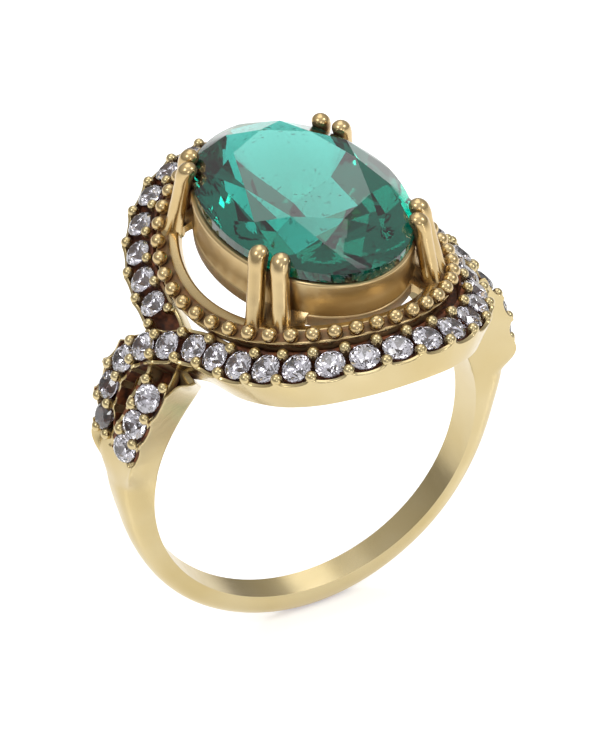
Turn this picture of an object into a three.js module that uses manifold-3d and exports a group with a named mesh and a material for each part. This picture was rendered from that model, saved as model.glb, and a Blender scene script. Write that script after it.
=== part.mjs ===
// Cocktail ring: a large oval green stone in eight prongs, a beaded gallery frame under it and a
// stone-set halo of two strands that cross over on the shoulders and run down the shank.
//
// Frame: millimetres. Origin at the centre of the finger hole, X across the finger, Y along the
// finger, Z up through the centre stone. The head is draped over the finger, so most of it is
// drawn unrolled: an angle from the top of the ring, a place along the finger and a radius.
import * as THREE from 'three';
import { mergeVertices } from 'three/addons/utils/BufferGeometryUtils.js';
import { ConvexGeometry } from 'three/addons/geometries/ConvexGeometry.js';
import Module from 'manifold-3d';

const wasm = await Module();
wasm.setup();

// ---- driving dimensions (mm, degrees) ------------------------------------------------------
const HOLE_RADIUS = 8.65;          // finger size 7
const GAP = 0.03;                  // clearance between neighbouring pieces

// Shank stations, from the bottom of the ring up to the end of a shoulder. Each has the angle
// from the bottom, the outer radius on the narrow and on the wide flank, the half width at the
// finger, the half width at the outside of both flanks, and how square the section is (2 is an
// ellipse).
const SHANK_STATIONS = [
  { angle: 0, narrowHigh: 10.15, wideHigh: 10.15, inside: 0.72, narrow: 0.82, wide: 0.82, square: 2.0 },
  { angle: 35, narrowHigh: 9.97, wideHigh: 9.97, inside: 0.76, narrow: 0.87, wide: 0.87, square: 2.0 },
  { angle: 65, narrowHigh: 9.83, wideHigh: 9.83, inside: 0.88, narrow: 1.02, wide: 1.02, square: 2.1 },
  { angle: 85, narrowHigh: 10.0, wideHigh: 10.0, inside: 1.02, narrow: 1.25, wide: 1.25, square: 2.3 },
  { angle: 98, narrowHigh: 10.42, wideHigh: 10.38, inside: 1.13, narrow: 1.52, wide: 1.55, square: 2.9 },
  { angle: 106, narrowHigh: 10.7, wideHigh: 10.48, inside: 1.2, narrow: 1.77, wide: 1.85, square: 6.0 },
  { angle: 111, narrowHigh: 10.85, wideHigh: 10.5, inside: 1.24, narrow: 1.93, wide: 2.07, square: 14 },
  { angle: 117, narrowHigh: 11.1, wideHigh: 10.67, inside: 1.27, narrow: 2.15, wide: 2.36, square: 24 },
  { angle: 123, narrowHigh: 11.3, wideHigh: 10.88, inside: 1.3, narrow: 2.27, wide: 2.62, square: 30 },
  { angle: 129, narrowHigh: 11.4, wideHigh: 11.1, inside: 1.3, narrow: 2.12, wide: 2.8, square: 30 },
  { angle: 134, narrowHigh: 11.2, wideHigh: 11.15, inside: 1.28, narrow: 1.85, wide: 2.5, square: 30 },
  { angle: 137, narrowHigh: 11.0, wideHigh: 11.2, inside: 1.25, narrow: 1.65, wide: 2.3, square: 30 },
  { angle: 141, narrowHigh: 11.1, wideHigh: 11.3, inside: 1.18, narrow: 1.8, wide: 3.6, square: 30 },
];
const SHOULDER_END_LEAN = 4;       // the inside of a shoulder stops this many degrees lower
const SHOULDER_LEAN_FROM = 120;    // angle where the sections start to lean
const SLOT = { from: 47, to: 60, halfWidth: 0.36 };    // see-through slot between the two rows
const SHARES_ON_SHANK = { over: 0.4, under: 0.7 };     // the strands lie in the shank outside these
const OPEN_RADIUS = 13;            // cutters for open seats reach out to this radius

// Halo strand, unrolled: angle from the top, place along the finger, radius of the stone plane.
const HALO = { across: 7.0, along: 9.42, power: 2.2, tilt: 2, radius: 11.9, from: 13, to: 171 };
const OVER_TAIL = [[-70, 0.95, 10.75], [-58, 1.35, 11.3], [-50, 1.15, 11.55], [-44.5, 0.35, 11.8],
  [-40, -0.9, 11.95]];
const UNDER_TAIL = [[37.6, -0.1, 11.35], [41, 0.85, 11.2], [45, 1.65, 11.3], [49, 1.9, 11.5],
  [56, 1.75, 11.25], [70, 1.1, 10.75]];
// Radius of the strand's underside against the share of its length.
const UNDERSIDE = [[0, 9.6], [0.1, 10.0], [0.19, 10.1], [0.34, 10.12], [0.42, 10.36], [0.55, 10.45],
  [0.8, 10.4], [0.87, 10.1], [0.93, 10.0], [1, 9.6]];
// Degrees that the row of stones leans away from the centre stone, against the share of length.
const BANK = [[0, 3], [0.2, 6], [0.3, 10], [0.45, 13], [0.6, 13], [0.72, 8], [0.8, 0], [0.88, -22], [1, -22]];
const STRAND_HALF_WIDTH = 0.9;
const CHANNEL_HALF_WIDTH = 0.68;
const CHANNEL_DEPTH = 0.6;
const RAIL_HEIGHT = 0.05;          // rails stand this far above the girdles of the small stones
const THINNEST = 0.12;             // least thickness of the channel's floor and of the ledge
const LEDGE_ROOT = 0.01;           // what is left of the ledge where it has faded out
// Ledge on the inner side of the halo that carries the edge of the gallery frame.
const LEDGE = { from: 0.27, to: 0.75, fade: 0.03, reach: 0.55, low: 10.95, high: 11.6 };
const TAILS = { overEnd: 0.19, underStart: 0.85 };     // shares where the halo meets its tails
const BEAD = { radius: 0.27, postRadius: 0.2, haloOffset: 0.6, tailOffset: 0.46, lift: 0.12, sides: 6 };

const ACCENT = { radius: 0.64, table: 0.36, crown: 0.21, pavilion: 0.56, sides: 8 };
// Stretches of evenly spaced small stones along the strand, as lengths from its start.
const ACCENT_RUNS = [{ start: 1.05, pitch: 1.65, count: 6 }, { start: 10.8, pitch: 1.53, count: 9 },
  { start: 24.75, pitch: 1.81, count: 5 }, { start: 37.3, pitch: 1.69, count: 3 }];

const GALLERY = { across: 6.36, along: 8.2, inset: 0.85, outset: 0.2, bottom: 11.75, top: 12.4 };
const GALLERY_BEAD = { count: 44, radius: 0.37, centre: 12.6 };

// Four webs join the frame to the collar under the prongs; half is their half width in degrees.
const BRIDGE = { at: [45, 135, 225, 315], half: 11, low: 11.8, high: 12.3, overlap: 0.2 };

const COLLAR = { across: 4.65, along: 6.75, wall: 0.42, bottom: 11.5, top: 13.75 };

const PRONG = { radius: 0.42, foot: 11.2, tip: 15.05, sides: 10 };
// Foot and tip of the two prongs of a pair, in the quarter where X and Y are positive.
const PRONG_PAIR = [
  { name: 'side', foot: [4.6, 4.45], tip: [3.93, 3.8] },
  { name: 'end', foot: [3.78, 5.56], tip: [3.4, 4.82] },
];

const STONE = { across: 4.47, along: 6.85, girdleBottom: 13.85, girdleTop: 14.4, table: 15.5,
  tableShare: 0.62, starShare: 0.81, starHeight: 15.13, culet: 9.9, waistShare: 0.52, waist: 11.2 };
const STONE_FOLD = 8;              // the cut repeats this many times around the stone

// How many flat spans stand in for each curved run.
const SPANS = { strand: 56, shank: 60, shankArc: 11, gallery: 66, collar: 48, girdle: 32 };

// ---- materials -----------------------------------------------------------------------------
const gold = () => new THREE.MeshStandardMaterial({ color: 0xcfae62, roughness: 0.22, metalness: 1 });
const emerald = () => new THREE.MeshStandardMaterial({ color: 0x0f9a78, roughness: 0.05, metalness: 0 });
const clearStone = () => new THREE.MeshStandardMaterial({ color: 0xcfcbd8, roughness: 0.08, metalness: 0 });

// ---- small helpers -------------------------------------------------------------------------
const radians = THREE.MathUtils.degToRad;

// Point of the unrolled head: u is the arc length around the finger at the halo's radius.
function draped(u, y, radius) {
  const angle = u / HALO.radius;
  return new THREE.Vector3(radius * Math.sin(angle), y, radius * Math.cos(angle));
}

// Straight-line reading of a list of [position, value] pairs.
function readOff(pairs, position) {
  const after = pairs.findIndex(([place]) => place >= position);
  if (after <= 0) return pairs[after === 0 ? 0 : pairs.length - 1][1];
  const [[x0, v0], [x1, v1]] = [pairs[after - 1], pairs[after]];
  return v0 + ((v1 - v0) * (position - x0)) / (x1 - x0);
}

function volumeOf(points, faces) {
  let six = 0;
  for (let i = 0; i < faces.length; i += 3) {
    const [a, b, c] = [points[faces[i]], points[faces[i + 1]], points[faces[i + 2]]];
    six += a.dot(b.clone().cross(c));
  }
  return six / 6;
}

// Closed skin over rings of points with equal counts. An open run is capped with the outline,
// the flat shape of its end rings; a looped run joins its last ring to its first.
function skin(rings, outline, looped) {
  const size = rings[0].length;
  const points = rings.flat();
  const faces = [];
  const spans = looped ? rings.length : rings.length - 1;
  for (let i = 0; i < spans; i++) {
    const here = i * size;
    const next = ((i + 1) % rings.length) * size;
    for (let j = 0; j < size; j++) {
      const k = (j + 1) % size;
      faces.push(here + j, here + k, next + k, here + j, next + k, next + j);
    }
  }
  if (!looped) {
    const turn = THREE.ShapeUtils.isClockWise(outline) ? -1 : 1;
    const last = (rings.length - 1) * size;
    for (const [a, b, c] of THREE.ShapeUtils.triangulateShape(outline, [])) {
      const [p, q] = turn > 0 ? [b, c] : [c, b];
      faces.push(a, q, p, last + a, last + p, last + q);
    }
  }
  if (volumeOf(points, faces) < 0) {
    for (let i = 0; i < faces.length; i += 3) [faces[i], faces[i + 1]] = [faces[i + 1], faces[i]];
  }
  const geometry = new THREE.BufferGeometry().setFromPoints(points);
  geometry.setIndex(faces);
  return geometry;
}

function solidOf(geometry) {
  const bare = geometry.clone();
  bare.deleteAttribute('normal');
  bare.deleteAttribute('uv');
  const merged = mergeVertices(bare, 1e-4);
  const vertProperties = Float32Array.from(merged.attributes.position.array);
  const triVerts = Uint32Array.from(merged.index.array);
  return new wasm.Manifold(new wasm.Mesh({ numProp: 3, vertProperties, triVerts }));
}

function geometryOf(solid) {
  const mesh = solid.getMesh();
  const geometry = new THREE.BufferGeometry();
  geometry.setAttribute('position', new THREE.BufferAttribute(Float32Array.from(mesh.vertProperties), 3));
  geometry.setIndex(Array.from(mesh.triVerts));
  return geometry;
}

// The one big body of a cut solid, without any crumbs that a cut leaves loose.
function largestBody(solid) {
  const bodies = solid.decompose();
  return bodies.reduce((best, body) => (body.volume() > best.volume() ? body : best));
}

const ring = new THREE.Group();

function addPiece(name, geometry, material, place) {
  geometry.computeVertexNormals();
  const mesh = new THREE.Mesh(geometry, material);
  mesh.name = name;
  if (place) mesh.applyMatrix4(place);
  ring.add(mesh);
}

const halfTurn = new THREE.Matrix4().makeRotationZ(Math.PI);

// ---- halo strand ---------------------------------------------------------------------------
// Points of the halo's oval from the left shoulder round the front to the right shoulder.
function haloPoints() {
  const count = 11;
  const points = [];
  for (let i = 0; i < count; i++) {
    const turn = radians(HALO.from + ((HALO.to - HALO.from) * i) / (count - 1));
    const [cos, sin] = [Math.cos(turn), Math.sin(turn)];
    const plan = new THREE.Vector2(-HALO.across * Math.sign(cos) * Math.pow(Math.abs(cos), 2 / HALO.power),
      -HALO.along * Math.pow(sin, 2 / HALO.power));
    plan.rotateAround(new THREE.Vector2(), radians(HALO.tilt));
    points.push(new THREE.Vector3(HALO.radius * Math.asin(plan.x / HALO.radius), plan.y, HALO.radius));
  }
  return points;
}

function strandCurve() {
  const unrolled = ([angle, y, radius]) => new THREE.Vector3(HALO.radius * radians(angle), y, radius);
  const points = [...OVER_TAIL.map(unrolled), ...haloPoints(), ...UNDER_TAIL.map(unrolled)];
  return new THREE.CatmullRomCurve3(points, false, 'centripetal');
}

const STRAND = strandCurve();
STRAND.arcLengthDivisions = 800;
const STRAND_LENGTH = STRAND.getLength();

// Centre, sideways direction and stone-plane radius of the strand at a share of its length.
function strandAt(share) {
  const centre = STRAND.getPointAt(share);
  const along = STRAND.getTangentAt(share);
  const side = new THREE.Vector2(along.y, -along.x).normalize();
  return { centre, side };
}

function strandRing(share, section) {
  const { centre, side } = strandAt(share);
  return section.map(([offset, radius]) => draped(centre.x + side.x * offset, centre.y + side.y * offset, radius));
}

// Height that the lean of the row takes off its outer edge, for each millimetre sideways.
function leanAt(share) {
  return Math.tan(radians(readOff(BANK, share)));
}

function ledgeReach(share) {
  const starts = THREE.MathUtils.smoothstep(share, LEDGE.from, LEDGE.from + LEDGE.fade);
  const ends = THREE.MathUtils.smoothstep(share, LEDGE.to - LEDGE.fade, LEDGE.to);
  return LEDGE_ROOT + LEDGE.reach * starts * (1 - ends);
}

// Open channel with two rails, which the small stones stand in, and the ledge on its inner side.
function channelSection(share) {
  const lean = leanAt(share);
  const plane = strandAt(share).centre.z;
  const floor = plane - CHANNEL_DEPTH;
  const bottom = Math.min(readOff(UNDERSIDE, share), floor - THINNEST);
  const [w, c] = [STRAND_HALF_WIDTH, CHANNEL_HALF_WIDTH];
  const top = (offset) => plane + RAIL_HEIGHT - offset * lean;
  const high = Math.min(LEDGE.high, top(-w) - THINNEST);
  const low = Math.min(Math.max(LEDGE.low, bottom + THINNEST), high - THINNEST);
  const ledge = -w - ledgeReach(share);
  return [[-w, bottom], [w, bottom], [w, top(w)], [c, top(c)], [c, floor], [-c, floor], [-c, top(-c)],
    [-w, top(-w)], [-w, high], [ledge, high], [ledge, low], [-w, low]];
}

function strandBody() {
  const rings = [];
  for (let i = 0; i <= SPANS.strand; i++) {
    const share = i / SPANS.strand;
    rings.push(strandRing(share, channelSection(share)));
  }
  const outline = channelSection(0).map(([x, y]) => new THREE.Vector2(x, y));
  return skin(rings, outline, false);
}

// Room that a stretch of strand takes up, grown by the clearance and open upwards to a radius.
function strandRoom(from, to, radiusAbove) {
  const steps = Math.round((to - from) * SPANS.strand);
  const w = STRAND_HALF_WIDTH + LEDGE_ROOT + GAP;
  const section = (share) => {
    const bottom = channelSection(share)[0][1] - GAP;
    const middle = strandAt(share).centre.z + RAIL_HEIGHT + GAP;
    const [inner, outer] = [-w, w].map((offset) => radiusAbove ?? middle - offset * leanAt(share));
    return [[-w, bottom], [w, bottom], [w, outer], [-w, inner]];
  };
  const rings = [];
  for (let i = 0; i <= steps; i++) {
    const share = from + ((to - from) * i) / steps;
    rings.push(strandRing(share, section(share)));
  }
  return skin(rings, section(from).map(([x, y]) => new THREE.Vector2(x, y)), false);
}

// Places of the small stones, as lengths from the strand's start.
const ACCENT_PLACES = ACCENT_RUNS.flatMap(({ start, pitch, count }) => {
  const places = [];
  for (let i = 0; i < count; i++) places.push(start + i * pitch);
  return places;
});

// Beads stand halfway between neighbouring stones, and half a pitch outside the end ones.
function beadPlaces() {
  const reach = ACCENT_RUNS[0].pitch / 2;
  const places = [ACCENT_PLACES[0] - reach];
  ACCENT_PLACES.forEach((place, i) => {
    const next = ACCENT_PLACES[i + 1] ?? Infinity;
    if (next - place < 3 * reach) places.push((place + next) / 2);
    else places.push(place + reach, next - reach);
  });
  return places.filter((place) => place < STRAND_LENGTH);
}

function beadOffset(share) {
  const halo = THREE.MathUtils.smoothstep(share, TAILS.overEnd - LEDGE.fade, TAILS.overEnd)
    * (1 - THREE.MathUtils.smoothstep(share, TAILS.underStart, TAILS.underStart + LEDGE.fade));
  return BEAD.tailOffset + (BEAD.haloOffset - BEAD.tailOffset) * halo;
}

// Upright post with a round bead on top, drawn from the channel's floor and grown all round.
function beadedPost(grow) {
  const [r, post] = [BEAD.radius + grow, BEAD.postRadius + grow];
  const foot = -CHANNEL_DEPTH - BEAD.lift - THINNEST / 2;
  const profile = [new THREE.Vector2(0, foot), new THREE.Vector2(post, foot), new THREE.Vector2(post, -r / 2),
    new THREE.Vector2(r, 0), new THREE.Vector2(r * Math.SQRT1_2, r * Math.SQRT1_2), new THREE.Vector2(0, r)];
  return new THREE.LatheGeometry(profile, BEAD.sides);
}

// Pairs of beads beside the stones from a length along the strand to its end.
function strandBeads(from, grow) {
  const beads = [];
  for (const place of beadPlaces().filter((length) => length >= from)) {
    const share = place / STRAND_LENGTH;
    const { centre, side } = strandAt(share);
    const upright = new THREE.Quaternion().setFromUnitVectors(new THREE.Vector3(0, 1, 0), draped(centre.x, 0, 1));
    for (const hand of [-1, 1]) {
      const offset = hand * beadOffset(share);
      const radius = centre.z + BEAD.lift - offset * leanAt(share);
      const spot = draped(centre.x + side.x * offset, centre.y + side.y * offset, radius);
      const bead = beadedPost(grow).applyQuaternion(upright).translate(spot.x, spot.y, spot.z);
      beads.push(solidOf(bead));
    }
  }
  return beads;
}

const UNDER_FROM = 0.77;           // share of the strand's length where its under tail begins

function tailRoom() {
  let room = solidOf(strandRoom(UNDER_FROM, 1));
  for (const bead of strandBeads(UNDER_FROM * STRAND_LENGTH, GAP)) room = room.add(bead);
  return room.transform(halfTurn.elements);
}

function haloStrand() {
  let strand = solidOf(strandBody());
  for (const bead of strandBeads(0, 0)) strand = strand.add(bead);
  return geometryOf(largestBody(strand.subtract(tailRoom())));
}

// ---- small stones --------------------------------------------------------------------------
// Eight-sided brilliant, girdle at the origin, table towards +Z.
function accentStone() {
  const points = [new THREE.Vector3(0, 0, -ACCENT.pavilion)];
  for (let i = 0; i < ACCENT.sides; i++) {
    const turn = (2 * Math.PI * i) / ACCENT.sides;
    const [x, y] = [Math.cos(turn), Math.sin(turn)];
    points.push(new THREE.Vector3(ACCENT.radius * x, ACCENT.radius * y, 0));
    points.push(new THREE.Vector3(ACCENT.table * x, ACCENT.table * y, ACCENT.crown));
  }
  return new ConvexGeometry(points);
}

// Place of a small stone: girdle on the stone plane, table facing away from the finger and
// leaning with the row.
function accentPlace(length) {
  const share = length / STRAND_LENGTH;
  const { centre, side } = strandAt(share);
  const origin = draped(centre.x, centre.y, centre.z);
  const up = draped(centre.x, 0, 1);
  const across = draped(centre.x + side.x, centre.y + side.y, centre.z).sub(origin);
  across.addScaledVector(up, -across.dot(up)).normalize();
  const along = up.clone().cross(across);
  const upright = new THREE.Matrix4().makeBasis(across, along, up).setPosition(origin);
  return upright.multiply(new THREE.Matrix4().makeRotationY(radians(readOff(BANK, share))));
}

// ---- shank ---------------------------------------------------------------------------------
function shankStation(angle) {
  const keys = ['narrowHigh', 'wideHigh', 'inside', 'narrow', 'wide', 'square'];
  const last = SHANK_STATIONS.length - 1;
  const i = Math.min(last - 1, SHANK_STATIONS.findLastIndex((s) => s.angle <= angle));
  const at = (n) => SHANK_STATIONS[Math.max(0, Math.min(last, n))];
  const t = (angle - at(i).angle) / (at(i + 1).angle - at(i).angle);
  const station = {};
  for (const key of keys) {
    const slope = (n) => {
      if (n <= 0 || n >= last) return 0;
      return (at(n + 1)[key] - at(n - 1)[key]) / (at(n + 1).angle - at(n - 1).angle);
    };
    const span = at(i + 1).angle - at(i).angle;
    const [v0, v1, m0, m1] = [at(i)[key], at(i + 1)[key], slope(i) * span, slope(i + 1) * span];
    const [t2, t3] = [t * t, t * t * t];
    station[key] = (2 * t3 - 3 * t2 + 1) * v0 + (t3 - 2 * t2 + t) * m0 + (3 * t2 - 2 * t3) * v1 + (t3 - t2) * m1;
  }
  return station;
}

// Section of the shank as [y, radius] points; a positive angle is the right-hand side.
function shankSection(angle) {
  const { narrowHigh, wideHigh, inside, narrow, wide, square } = shankStation(Math.abs(angle));
  const [front, back] = angle > 0 ? [narrow, wide] : [wide, narrow];
  const [frontHigh, backHigh] = angle > 0 ? [narrowHigh, wideHigh] : [wideHigh, narrowHigh];
  const section = [];
  for (let i = 0; i <= SPANS.shankArc; i++) {
    const turn = (Math.PI * i) / SPANS.shankArc;
    const height = Math.pow(Math.sin(turn), 2 / square);
    const reach = Math.pow(Math.abs(Math.cos(turn)), 2 / square) * Math.sign(Math.cos(turn));
    const half = reach > 0 ? inside + (back - inside) * height : inside + (front - inside) * height;
    const outer = (frontHigh + backHigh) / 2 + (reach * (backHigh - frontHigh)) / 2;
    section.push([reach * half, HOLE_RADIUS + (outer - HOLE_RADIUS) * height]);
  }
  return section;
}

function shankBody() {
  const end = SHANK_STATIONS.at(-1).angle;
  const rings = [];
  for (let i = 0; i <= SPANS.shank; i++) {
    const angle = end * (-1 + (2 * i) / SPANS.shank);
    const leaning = THREE.MathUtils.smoothstep(Math.abs(angle), SHOULDER_LEAN_FROM, end);
    const lean = SHOULDER_END_LEAN * leaning * Math.sign(angle);
    rings.push(shankSection(angle).map(([y, radius]) => {
      const depth = 1 - (radius - HOLE_RADIUS) / (HALO.radius - HOLE_RADIUS);
      const turn = radians(angle - lean * depth);
      return new THREE.Vector3(radius * Math.sin(turn), y, -radius * Math.cos(turn));
    }));
  }
  const outline = shankSection(-end).map(([x, y]) => new THREE.Vector2(x, y));
  return skin(rings, outline, false);
}

// Cutter for the slot between the two rows of stones on the left shoulder, pointed at both ends.
function slotCutter() {
  const middle = (SLOT.from + SLOT.to) / 2;
  const reach = ((SLOT.to - SLOT.from) / 2) * radians(1) * HALO.radius;
  const centre = -radians(middle) * HALO.radius;
  const plan = [[-reach, 0], [-reach * 0.5, -0.85], [reach * 0.4, -1], [reach, 0], [reach * 0.4, 1],
    [-reach * 0.5, 0.85]];
  const rings = [HOLE_RADIUS - 1, HALO.radius + 1].map((radius) =>
    plan.map(([u, y]) => draped(centre + u, y * SLOT.halfWidth, radius)));
  return skin(rings, plan.map(([x, y]) => new THREE.Vector2(x, y)), false);
}

function shank() {
  let body = solidOf(shankBody());
  for (const place of [new THREE.Matrix4(), halfTurn]) {
    const overRoom = solidOf(strandRoom(0, SHARES_ON_SHANK.over, OPEN_RADIUS)).transform(place.elements);
    const underRoom = solidOf(strandRoom(SHARES_ON_SHANK.under, 1, OPEN_RADIUS)).transform(place.elements);
    const slot = solidOf(slotCutter()).transform(place.elements);
    body = body.subtract(overRoom).subtract(underRoom).subtract(slot);
  }
  return geometryOf(largestBody(body));
}

// ---- gallery frame, collar, prongs and centre stone ----------------------------------------
// Oval at a share of the gallery's bead line, draped over the finger at a radius.
function galleryPoint(turn, offset, radius) {
  const x = (GALLERY.across + offset) * Math.cos(turn);
  const y = (GALLERY.along + offset) * Math.sin(turn);
  return draped(HALO.radius * Math.asin(x / GALLERY_BEAD.centre), y, radius);
}

function galleryBand(grow) {
  const [inner, outer] = [-GALLERY.inset - grow, GALLERY.outset + grow];
  const [low, high] = [GALLERY.bottom - grow, GALLERY.top + grow];
  const section = [[inner, low], [outer, low], [outer, high], [inner, high]];
  const rings = [];
  for (let i = 0; i < SPANS.gallery; i++) {
    const turn = (2 * Math.PI * i) / SPANS.gallery;
    rings.push(section.map(([offset, radius]) => galleryPoint(turn, offset, radius)));
  }
  return skin(rings, null, true);
}

// Web from inside the collar's outer face to inside the gallery band, around an angle.
function bridge(middle, grow) {
  const steps = 6;
  const [low, high] = [BRIDGE.low - grow, BRIDGE.high + grow];
  const half = radians(BRIDGE.half) + grow / COLLAR.across;
  const rings = [];
  for (let i = 0; i <= steps; i++) {
    const turn = radians(middle) + half * (-1 + (2 * i) / steps);
    const near = new THREE.Vector3((COLLAR.across - BRIDGE.overlap) * Math.cos(turn),
      (COLLAR.along - BRIDGE.overlap) * Math.sin(turn), 0);
    const far = galleryPoint(turn, -GALLERY.inset + BRIDGE.overlap, (low + high) / 2);
    const radiusOf = ({ x, z }) => Math.hypot(x, z);
    const at = ({ x, y }, radius) => new THREE.Vector3(x, y, Math.sqrt(radius * radius - x * x));
    const top = Math.min(high, radiusOf(far) + (high - low) / 2);
    rings.push([at(near, low), at(far, low), at(far, top), at(near, top)]);
  }
  const outline = [[0, 0], [1, 0], [1, 1], [0, 1]].map(([x, y]) => new THREE.Vector2(x, y));
  return skin(rings, outline, false);
}

function galleryBeads(radius) {
  const beads = [];
  for (let i = 0; i < GALLERY_BEAD.count; i++) {
    const turn = (2 * Math.PI * (i + 0.5)) / GALLERY_BEAD.count;
    const spot = galleryPoint(turn, 0, GALLERY_BEAD.centre);
    const bead = new THREE.SphereGeometry(radius, 6, 3);
    bead.rotateX(Math.PI / 2);
    bead.translate(spot.x, spot.y, spot.z);
    beads.push(solidOf(bead));
  }
  return beads;
}

function gallery() {
  let frame = solidOf(galleryBand(0));
  for (const bead of galleryBeads(GALLERY_BEAD.radius)) frame = frame.add(bead);
  for (const middle of BRIDGE.at) frame = frame.add(solidOf(bridge(middle, 0)));
  return geometryOf(largestBody(frame.subtract(solidOf(collarBand(GAP)))));
}

function ovalRing(across, along, z, count) {
  const points = [];
  for (let i = 0; i < count; i++) {
    const turn = (2 * Math.PI * i) / count;
    points.push(new THREE.Vector3(across * Math.cos(turn), along * Math.sin(turn), z));
  }
  return points;
}

function collarBand(grow) {
  const { across, along, wall, bottom, top } = COLLAR;
  const [inner, low, high] = [-wall - grow, bottom - grow, top + grow];
  const section = [[grow, low], [grow, high], [inner, high], [inner, low]];
  const rings = [];
  for (let i = 0; i < SPANS.collar; i++) {
    const turn = (2 * Math.PI * i) / SPANS.collar;
    rings.push(section.map(([offset, z]) =>
      new THREE.Vector3((across + offset) * Math.cos(turn), (along + offset) * Math.sin(turn), z)));
  }
  return skin(rings, null, true);
}

// Collar with the seat that the centre stone rests in.
function collar() {
  return geometryOf(largestBody(solidOf(collarBand(0)).subtract(solidOf(centreStone(GAP)))));
}

// Oval brilliant: table, star points, girdle, pavilion waist and culet.
function centreStone(grow) {
  const { across, along, girdleBottom, girdleTop, table, tableShare, starShare, starHeight } = STONE;
  const [a, b] = [across + grow, along + grow];
  const points = [
    ...ovalRing(a * tableShare, b * tableShare, table + grow, STONE_FOLD),
    ...ovalRing(a, b, girdleTop + grow, SPANS.girdle),
    ...ovalRing(a, b, girdleBottom - grow, SPANS.girdle),
    new THREE.Vector3(0, 0, STONE.culet - grow),
  ];
  for (let i = 0; i < STONE_FOLD; i++) {
    const turn = (2 * Math.PI * (i + 0.5)) / STONE_FOLD;
    const [cos, sin] = [Math.cos(turn), Math.sin(turn)];
    points.push(new THREE.Vector3(a * starShare * cos, b * starShare * sin, starHeight + grow));
    points.push(new THREE.Vector3(a * STONE.waistShare * cos, b * STONE.waistShare * sin, STONE.waist - grow));
  }
  return new ConvexGeometry(points);
}

// Round wire with a domed tip, from the gallery frame up over the edge of the centre stone.
function prong({ foot, tip }, signX, signY) {
  const from = new THREE.Vector3(signX * foot[0], signY * foot[1], PRONG.foot);
  const to = new THREE.Vector3(signX * tip[0], signY * tip[1], PRONG.tip);
  const length = from.distanceTo(to);
  const r = PRONG.radius;
  const profile = [new THREE.Vector2(0, 0), new THREE.Vector2(r, 0), new THREE.Vector2(r, length - r),
    new THREE.Vector2(r * Math.SQRT1_2, length - r + r * Math.SQRT1_2), new THREE.Vector2(0, length)];
  const wire = new THREE.LatheGeometry(profile, PRONG.sides);
  const up = to.clone().sub(from).normalize();
  wire.applyQuaternion(new THREE.Quaternion().setFromUnitVectors(new THREE.Vector3(0, 1, 0), up));
  wire.translate(from.x, from.y, from.z);
  let solid = solidOf(wire);
  for (const neighbour of prongNeighbours) solid = solid.subtract(neighbour);
  return geometryOf(largestBody(solid));
}

const prongNeighbours = [solidOf(galleryBand(GAP)), solidOf(collarBand(GAP)), solidOf(centreStone(GAP)),
  ...BRIDGE.at.map((middle) => solidOf(bridge(middle, GAP))), ...galleryBeads(GALLERY_BEAD.radius + GAP)];

// ---- assembly ------------------------------------------------------------------------------
addPiece('shank', shank(), gold());
addPiece('halo_strand_front', haloStrand(), gold());
addPiece('halo_strand_back', haloStrand(), gold(), halfTurn);
addPiece('beaded_gallery', gallery(), gold());
addPiece('basket_collar', collar(), gold());

const QUARTERS = [
  { name: 'front_right', x: 1, y: -1 }, { name: 'back_right', x: 1, y: 1 },
  { name: 'back_left', x: -1, y: 1 }, { name: 'front_left', x: -1, y: -1 },
];
for (const quarter of QUARTERS) {
  for (const wire of PRONG_PAIR) {
    addPiece(`prong_${quarter.name}_${wire.name}`, prong(wire, quarter.x, quarter.y), gold());
  }
}

addPiece('centre_stone', centreStone(0), emerald());
ACCENT_PLACES.forEach((length, i) => {
  const number = String(i + 1).padStart(2, '0');
  const place = accentPlace(length);
  addPiece(`accent_stone_front_${number}`, accentStone(), clearStone(), place);
  addPiece(`accent_stone_back_${number}`, accentStone(), clearStone(), halfTurn.clone().multiply(place));
});

export default ring;
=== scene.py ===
"""Looks of the cocktail ring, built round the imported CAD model.

Lengths are in millimetres until an object is made, and angles are in degrees unless a name says
otherwise. The head of the ring is draped over the finger, so its pieces are drawn unrolled: u is
the arc length round the finger at the halo's radius, y runs along the finger, and the radius is
the distance from the finger's axis.
"""

import math

import bmesh
import bpy
import numpy as np
from mathutils import Matrix, Vector


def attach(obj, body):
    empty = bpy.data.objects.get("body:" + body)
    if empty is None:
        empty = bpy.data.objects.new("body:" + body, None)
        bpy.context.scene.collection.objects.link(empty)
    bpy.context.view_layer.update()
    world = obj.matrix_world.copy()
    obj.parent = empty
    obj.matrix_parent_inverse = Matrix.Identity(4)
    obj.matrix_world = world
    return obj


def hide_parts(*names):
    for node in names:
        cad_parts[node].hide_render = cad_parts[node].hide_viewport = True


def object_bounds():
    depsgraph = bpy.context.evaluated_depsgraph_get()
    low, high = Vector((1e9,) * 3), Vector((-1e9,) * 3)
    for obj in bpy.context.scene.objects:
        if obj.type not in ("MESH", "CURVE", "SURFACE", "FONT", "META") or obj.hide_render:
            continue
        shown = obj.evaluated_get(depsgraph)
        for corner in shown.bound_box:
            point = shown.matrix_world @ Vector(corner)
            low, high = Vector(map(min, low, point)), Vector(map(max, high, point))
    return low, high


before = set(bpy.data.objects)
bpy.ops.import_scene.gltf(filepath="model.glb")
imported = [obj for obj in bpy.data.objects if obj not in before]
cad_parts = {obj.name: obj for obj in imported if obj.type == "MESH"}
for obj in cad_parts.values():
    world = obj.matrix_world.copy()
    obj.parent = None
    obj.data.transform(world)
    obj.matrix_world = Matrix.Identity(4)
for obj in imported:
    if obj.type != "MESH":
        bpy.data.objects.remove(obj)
CAD_LOW, CAD_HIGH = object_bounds()
MM = 0.001

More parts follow.
